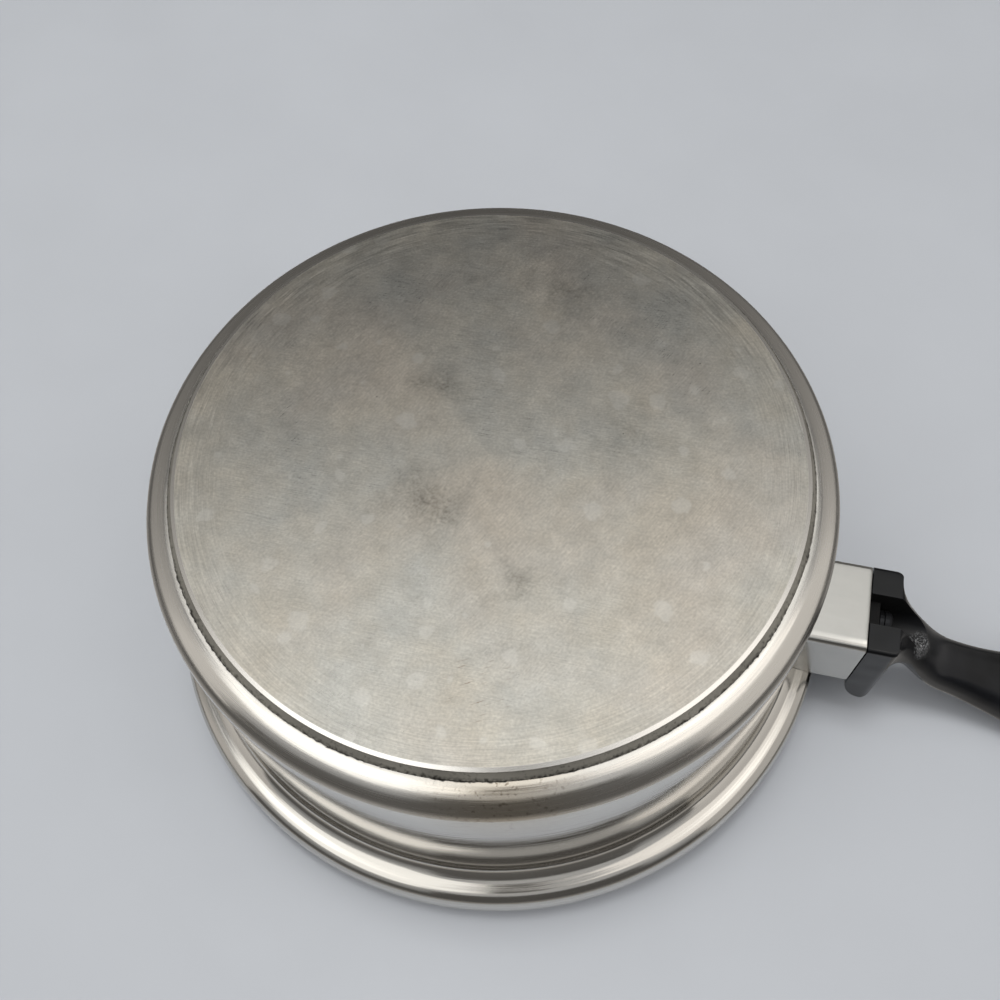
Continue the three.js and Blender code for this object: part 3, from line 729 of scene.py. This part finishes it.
def handle_form(look):
    """Handle before it is cut, as a grid of rounded sections along X: a boxy collar with the thumb
    guard, a hollow quarter ellipse into the neck, a neck and grip on smooth courses, and a nose
    closed by a quarter ellipse."""
    reach = look.end - look.front
    edge_run, edge_drop, edge_pull = 2.2 * MM, 4.4 * MM, 1.2 * MM
    fillet, nose, lower_bend, fullness = 8 * MM, 11.6 * MM, 1.2 * MM, 0.86
    upper_bend, ease = 3, 1.8
    thumb_run = look.collar - edge_run
    neck_start, end_start = look.collar + fillet, reach - nose
    turn = np.linspace(0, np.pi / 2, 22, endpoint=False)
    distance = np.concatenate(
        [
            thumb_run * (1 - np.cos(turn)),
            thumb_run + edge_run * np.sin(turn),
            look.collar + fillet * (1 - np.cos(turn)),
            np.linspace(neck_start, end_start, 130, endpoint=False),
            end_start + nose * np.sin(np.linspace(0, np.pi / 2, 30)),
        ]
    )
    far = np.maximum(distance, look.collar)
    collar = fall((neck_start - distance) / fillet)
    edge = fall((distance - thumb_run) / edge_run)
    front = fall(1 - distance / thumb_run)
    close = 1 - fall((distance - end_start) / nose)
    neck, level, grip, end = 30 * MM, 62 * MM, 75 * MM, END_DISTANCE * MM
    top = look.guard_high
    half = course(
        (
            (look.collar, look.neck_width / 2),
            (neck, look.neck_width / 2),
            (grip, look.grip_width / 2),
            (end, look.end_width / 2),
        ),
        far,
    )
    low = course(
        (
            (look.collar, look.guard_low),
            (neck, top - 2.5 * MM),
            (level, top + 6 * MM),
            (end, top + 9.2 * MM),
        ),
        far,
    )
    thick = course(
        (
            (look.collar, look.neck_thickness),
            (neck, look.neck_thickness),
            (grip, look.grip_thickness),
            (end, look.neck_thickness),
        ),
        far,
    )
    thumb = top + look.thumb_rise * (1 - front) - edge_drop * edge
    high = low + thick + (thumb - low - thick) * collar
    boxy = look.guard_width / 2 - edge_pull * edge
    across = close * (half + (boxy - half) * collar)
    middle, up = (low + high) / 2, np.sqrt(close) * (high - low) / 2
    soft = fullness * np.minimum(across, up)
    crisp = (upper_bend - ease * front) * MM
    above = soft + (crisp - soft) * collar
    below = soft + (lower_bend - soft) * collar
    sections = rounded_sections(across, middle - up, middle + up, above, below, 18)
    return along_x(sections, look.front + distance)


def prism(name, outline, start, end):
    """A cutter: an outline of Y and height drawn out along X."""
    return grid_piece(name, along_x(np.stack([outline, outline]), (start, end)))


def guard_form(look, vessel):
    """Flame guard as a closed grid of rings: along its outside from the pan to its end, over a
    rounded edge, across the end plate to the screw's hole, back over the plate's inside and along
    the inside to the pan. Where a ring starts, X is the root of the pan's radius at that height
    squared less Y squared."""
    half, low, high = look.guard_width / 2, look.guard_low, look.guard_high
    soft = 0.25 * MM
    bend_steps, side_steps, skin_rows, plate_rows = 12, 25, 16, 8

    def ring(inset):
        bend = np.array([max(look.guard_corner - inset, soft)])
        size = [np.array([value]) for value in (half - inset, low + inset, high - inset)]
        corners = rounded_sections(*size, bend, bend, bend_steps).reshape(4, bend_steps, 2)
        leave, meet = corners[:, -1:], np.roll(corners, -1, axis=0)[:, :1]
        sides = leave + (meet - leave) * np.linspace(0, 1, side_steps)[1:-1, None]
        return np.concatenate([corners, sides], axis=1).reshape(-1, 2)

    def start(section):
        skin = vessel_skin(vessel, look.seam)
        skin = skin[np.argmax(skin[:, 1] > vessel.bottom + vessel.corner_radius) :]
        radius = np.interp(section[:, 1], skin[:, 1], skin[:, 0])
        return np.sqrt(radius**2 - section[:, 0] ** 2)

    outside, inside = ring(0), ring(look.guard_sheet)
    centre = np.array([0, look.screw_height])
    spoke = (outside - centre) / np.linalg.norm(outside - centre, axis=1, keepdims=True)
    hole = centre + look.screw_hole * spoke
    turn = np.linspace(0, np.pi / 2, 5)
    skin_share = np.linspace(0, 1, skin_rows)[:, None]
    plate_share = np.linspace(0, 1, plate_rows)[:, None, None]
    first, last = start(outside), look.guard_end - soft
    skin = np.repeat(outside[None], skin_rows, 0)
    rows = [along_x(skin, first + (last - first) * skin_share)]
    rounded = np.stack([ring(soft * (1 - math.cos(angle))) for angle in turn[1:]])
    rows.append(along_x(rounded, last + soft * np.sin(turn[1:])))
    plate = rounded[-1] + (hole - rounded[-1]) * plate_share[1:]
    rows.append(along_x(plate, np.full(plate_rows - 1, look.guard_end)))
    back = look.guard_end - look.guard_sheet
    plate = hole + (inside - hole) * plate_share
    rows.append(along_x(plate, np.full(plate_rows, back)))
    first = start(inside)
    skin = np.repeat(inside[None], skin_rows - 1, 0)
    rows.append(along_x(skin, back + (first - back) * skin_share[1:]))
    return np.concatenate(rows)


# Operators


class SAUCEPAN_OT_vessel(bpy.types.Operator):
    """Turn the polished vessel: bottom, corner, wall, lid ledge, collar and lip"""

    bl_idname = "saucepan.vessel"
    bl_label = "Vessel"

    def execute(self, context):
        look = context.scene.saucepan_vessel
        half = look.sheet / 2
        lip = arc((look.rim_radius - half, look.height - half), half, 0, 180, 11)
        profile = joined(vessel_skin(look, 0), lip, vessel_skin(look, -look.sheet)[::-1])
        piece = grid_piece("vessel", turned(profile), values=path_length(profile) / MM)
        dress(piece, polished_stainless(look), "pan_body")
        return {"FINISHED"}


class SAUCEPAN_OT_base(bpy.types.Operator):
    """Turn the heat-spreading core and the worn plate that closes it"""

    bl_idname = "saucepan.base"
    bl_label = "Base"

    def execute(self, context):
        look = context.scene.saucepan_vessel
        soft, edge_inset, edge_share = 0.15 * MM, 0.05 * MM, 0.7
        profile = joined(
            line((0, look.core_near), (look.base_radius - soft, look.core_near), 8),
            line(
                (look.base_radius, look.core_near + soft),
                (look.core_radius, look.core_far - soft),
                6,
            ),
            line((look.core_radius - soft, look.core_far), (0, look.core_far), 8),
        )
        core = grid_piece("core", turned(profile))
        dress(core, bare_aluminium(look), "base_core")
        brow = look.base_radius - look.cap_edge, 0
        edge = look.base_radius - edge_inset, edge_share * look.cap
        profile = joined(
            line((0, 0), brow, 10),
            line(brow, edge, 4),
            line((look.base_radius, look.cap), (0, look.cap), 8),
        )
        plate = grid_piece("base_plate", turned(profile), sharp=12)
        dress(plate, satin_stainless(look), "base_cap")
        return {"FINISHED"}


class SAUCEPAN_OT_guard(bpy.types.Operator):
    """Fold the flame guard and fit it to the wall and the ledge"""

    bl_idname = "saucepan.guard"
    bl_label = "Flame Guard"

    def execute(self, context):
        look = context.scene.saucepan_handle
        form = guard_form(look, context.scene.saucepan_vessel)
        piece = grid_piece("guard", form, looped=True, sharp=50)
        dress(piece, guard_stainless(look), "flame_guard")
        return {"FINISHED"}


class SAUCEPAN_OT_handle(bpy.types.Operator):
    """Mould the handle and cut its screw slot, screw hole and hanging eye"""

    bl_idname = "saucepan.handle"
    bl_label = "Handle"

    def execute(self, context):
        look = context.scene.saucepan_handle
        piece = grid_piece("grip", handle_form(look))
        web, lip, slot_reach, eye_depth = 3.8 * MM, 5.5 * MM, 30 * MM, 60 * MM
        web_back = look.front + web
        below, half = look.guard_low - lip, look.slot_half
        arch = arc((0, look.screw_height), half, 0, 180, 33)
        slot = joined(arch, [(-half, below), (half, below)])
        above = look.guard_low + lip
        mouth = np.array([(-half, below), (half, below), (half, above), (-half, above)])
        hole = arc((0, look.screw_height), look.screw_hole, 0, 360, 33)[:-1]
        eye_half = look.eye_width / 2
        eye_far = look.front + (END_DISTANCE - EYE_MARGIN) * MM - eye_half
        eye = joined(
            arc((eye_far, 0), eye_half, -90, 90, 17),
            arc((eye_far - look.eye_length + look.eye_width, 0), eye_half, 90, 270, 17),
        )
        floor, roof = -look.guard_high, -look.guard_high - eye_depth
        eye_grid = np.stack([np.c_[eye, np.full(len(eye), level)] for level in (floor, roof)])
        cut(
            piece,
            [
                prism("slot", slot, web_back, look.front + slot_reach),
                prism("mouth", mouth, look.front - MM, web_back + look.seam),
                prism("hole", hole, look.front - MM, web_back + MM),
                grid_piece("eye", eye_grid),
            ],
        )
        dress(piece, moulded_phenolic(look), "handle")
        return {"FINISHED"}


class SAUCEPAN_OT_fasteners(bpy.types.Operator):
    """Coat the bracket, nut, screw and spring washer"""

    bl_idname = "saucepan.fasteners"
    bl_label = "Fasteners"

    def execute(self, context):
        look = context.scene.saucepan_handle
        plated = coated_steel("Steel, zinc plated", look.plated, 0.34, 1.0)
        # Near black for the screw and spring washer: painted shade for the dark slot they sit in.
        dark_for_shade = coated_steel("Steel, blackened", look.dark_for_shade, 0.42, 0.8)
        for node in ("wall_bracket", "bracket_nut"):
            dress(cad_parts[node], plated)
        for node in ("handle_screw", "lock_washer"):
            dress(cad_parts[node], dark_for_shade)
        return {"FINISHED"}


class SAUCEPAN_OT_stage(bpy.types.Operator):
    """Set the floor under the rim and the grip, the light round the pan and the camera"""

    bl_idname = "saucepan.stage"
    bl_label = "Stage"

    def execute(self, context):
        look = context.scene.saucepan_stage
        self.lay_floor(look)
        self.light(context.scene, look)
        self.aim(context.scene, look)
        context.scene.view_settings.view_transform = "Standard"
        return {"FINISHED"}

    def floor_height(self, x):
        """Height of the floor along X. It passes through the rim's edge away from the handle and
        falls at the least slope from that edge to any point of the handle, so that both touch
        it."""
        clearance = 0.05 * MM
        edge, grip = PAN_BOX[0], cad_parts["handle"].data
        points = np.empty(len(grip.vertices) * 3)
        grip.vertices.foreach_get("co", points)
        points = points.reshape(-1, 3)
        slope = np.min((points[:, 2] - edge.z) / (points[:, 0] - edge.x))
        return edge.z + slope * (x - edge.x) - clearance

    def lay_floor(self, look):
        """A flat sheet under the rim and the grip."""
        reach = np.linspace(-FLOOR_REACH, FLOOR_REACH, 25)
        x, y = np.meshgrid(reach, reach, indexing="ij")
        mesh = sheet("floor", np.stack([x, y, self.floor_height(x)], axis=-1))
        mesh.materials.append(matt_board(look))
        floor = bpy.data.objects.new("floor", mesh)
        bpy.context.scene.collection.objects.link(floor)

    def card(self, name, start, end, profile, dim=0):
        """A card that only polished pieces see: a profile of radius, height above the floor and
        tone, turned about the pan's axis from one azimuth to another in degrees. The tone falls by
        the dim share times the root of the cosine of the angle from straight behind the pan, where
        that is positive."""
        azimuth = np.radians(np.linspace(start, end, CARD_STEPS))
        radius, height, tone = np.array(profile).T[:, :, None]
        x, y = radius * np.cos(azimuth), radius * np.sin(azimuth)
        mesh = sheet(name, np.stack([x, y, self.floor_height(x) + height], axis=-1))
        tone = tone * (1 - dim * np.sqrt(np.maximum(np.cos(azimuth - np.radians(BEHIND)), 0)))
        mesh.attributes.new("tone", "FLOAT", "POINT").data.foreach_set("value", tone.ravel())
        material, add = fresh("Card, " + name.replace("_", " "))
        level = add("Attribute", attribute_name="tone", out="Fac")
        glow = add("Emission", {"Color": linear("FFFBF6"), "Strength": level})
        add("OutputMaterial", {"Surface": glow})
        mesh.materials.append(material)
        card = bpy.data.objects.new(name, mesh)
        card.visible_camera = card.visible_diffuse = card.visible_shadow = False
        bpy.context.scene.collection.objects.link(card)

    def soft_box(self, name, azimuth, elevation, width, height, brightness, code):
        """A lamp that faces the pan from the lamps' distance. Its power is brightness times pi
        times its area."""
        lamp = bpy.data.lights.new(name, "AREA")
        lamp.shape = "RECTANGLE"
        lamp.size, lamp.size_y = width, height
        lamp.energy = brightness * math.pi * width * height
        lamp.color = linear(code)[:3]
        box = bpy.data.objects.new(name, lamp)
        turn = Euler((math.radians(90 - elevation), 0, math.radians(azimuth + 90)))
        box.matrix_world = turn.to_matrix().to_4x4() @ Matrix.Translation((0, 0, LAMP_DISTANCE))
        box.visible_camera = False
        bpy.context.scene.collection.objects.link(box)
        return box

    def light(self, scene, look):
        """Two soft boxes in front, one overhead, a small lamp for the shadows and a dim room, with
        cards for the steel to mirror."""
        self.soft_box("left_window", -131, 58, 1.23, 1.1, 0.85 * look.window, "FFFDF8")
        self.soft_box("right_window", -5, 55, 1.0, 1.2, 0.65 * look.window, "FFF8F0")
        self.soft_box("ceiling_box", 110, 80, 2.0, 1.1, 0.52 * look.window, "FFFEFA")
        # A small lamp straight above for the shadows, which the steel does not mirror.
        lamp = self.soft_box("ceiling_lamp", 100, 86, 0.4, 0.4, 15 * look.window, "FFFEFA")
        lamp.visible_glossy = False
        low, skirt, tall, eye_level = 0.2 * MM, 0.27, 0.5, 0.36
        dark, shade, floor, wall = 0.115, 0.2, 0.42, 0.7
        fading = ((0.14, low, floor), (0.24, low, dark), (1.2, low, dark), (1.2, skirt, dark))
        self.card("floor_card", 0, 360, fading)
        self.card("camera_card", -95, -45, ((0.6, low, dark), (0.6, tall, dark)))
        self.card("camera_flag", -85, -66, ((0.15, eye_level, shade), (0.26, eye_level, shade)))
        self.card("back_card", -30, 220, ((0.5, low, wall), (0.5, tall, wall)), dim=0.85)
        world = bpy.data.worlds.new("Dim room with a bright ceiling")
        world.use_nodes = True
        world.node_tree.nodes.clear()
        add = partial(add_node, world.node_tree)
        way = add("TexCoord", out="Generated")
        up = add("SeparateXYZ", {0: way}, out="Z")
        # Behind the pan the room stays dim up to about 45 degrees; before it, the wall lights up
        # from about 9 degrees.
        back = add(
            "MapRange",
            {0: up, 1: 0.71, 2: 0.98, 3: look.horizon, 4: look.ceiling},
            interpolation_type="SMOOTHSTEP",
        )
        front = add(
            "MapRange",
            {0: up, 1: 0.15, 2: 0.75, 3: 2 * look.horizon, 4: 1.4 * look.ceiling},
            interpolation_type="SMOOTHSTEP",
        )
        forward = (0.3, -0.954, 0)
        ahead = add("VectorMath", {0: way, 1: forward}, operation="DOT_PRODUCT", out="Value")
        turn = add("MapRange", {0: ahead, 1: -0.5, 2: 0.1}, interpolation_type="SMOOTHSTEP")
        lift = add("Mix", {0: turn, 2: back, 3: front})
        seen = add("LightPath", out="Is Camera Ray")
        shown = add("Mix", {0: seen, 2: lift, 3: look.ceiling})
        sky = add("Background", {"Strength": shown})
        add("OutputWorld", {"Surface": sky})
        scene.world = world

    def aim(self, scene, look):
        """Camera at the viewing angle: turned by its tilt, then its heading, after a small roll
        about its own axis."""
        data = bpy.data.cameras.new("camera")
        data.lens, data.sensor_width = look.lens, 36
        data.clip_start = 0.01
        camera = bpy.data.objects.new("camera", data)
        roll = Matrix.Rotation(math.radians(CAMERA_ROLL), 4, "Z")
        turn = Euler((math.radians(CAMERA_TILT), 0, math.radians(CAMERA_HEADING)))
        camera.matrix_world = Matrix.Translation(CAMERA_PLACE) @ turn.to_matrix().to_4x4() @ roll
        scene.collection.objects.link(camera)
        scene.camera = camera


class SAUCEPAN_PT_pieces(bpy.types.Panel):
    """Pieces of the saucepan, with their sizes and colours"""

    bl_idname = "SAUCEPAN_PT_pieces"
    bl_label = "Saucepan"
    bl_space_type = "VIEW_3D"
    bl_region_type = "UI"
    bl_category = "Saucepan"

    def draw(self, context):
        for operator in OPERATORS:
            self.layout.operator(operator.bl_idname)
        for name, group in GROUPS.items():
            box = self.layout.box()
            for key in group.__annotations__:
                box.prop(getattr(context.scene, name), key)


GROUPS = {
    "saucepan_vessel": SaucepanVessel,
    "saucepan_handle": SaucepanHandle,
    "saucepan_stage": SaucepanStage,
}
OPERATORS = (
    SAUCEPAN_OT_vessel,
    SAUCEPAN_OT_base,
    SAUCEPAN_OT_guard,
    SAUCEPAN_OT_handle,
    SAUCEPAN_OT_fasteners,
    SAUCEPAN_OT_stage,
)


def register():
    for kind in (*GROUPS.values(), *OPERATORS, SAUCEPAN_PT_pieces):
        bpy.utils.register_class(kind)
    for name, group in GROUPS.items():
        setattr(bpy.types.Scene, name, bpy.props.PointerProperty(type=group))


def unregister():
    for name in GROUPS:
        delattr(bpy.types.Scene, name)
    for kind in reversed((*GROUPS.values(), *OPERATORS, SAUCEPAN_PT_pieces)):
        bpy.utils.unregister_class(kind)


def main():
    register()
    bpy.ops.saucepan.vessel()
    bpy.ops.saucepan.base()
    bpy.ops.saucepan.guard()
    bpy.ops.saucepan.handle()
    bpy.ops.saucepan.fasteners()
    bpy.ops.saucepan.stage()


if __name__ == "__main__":
    main()
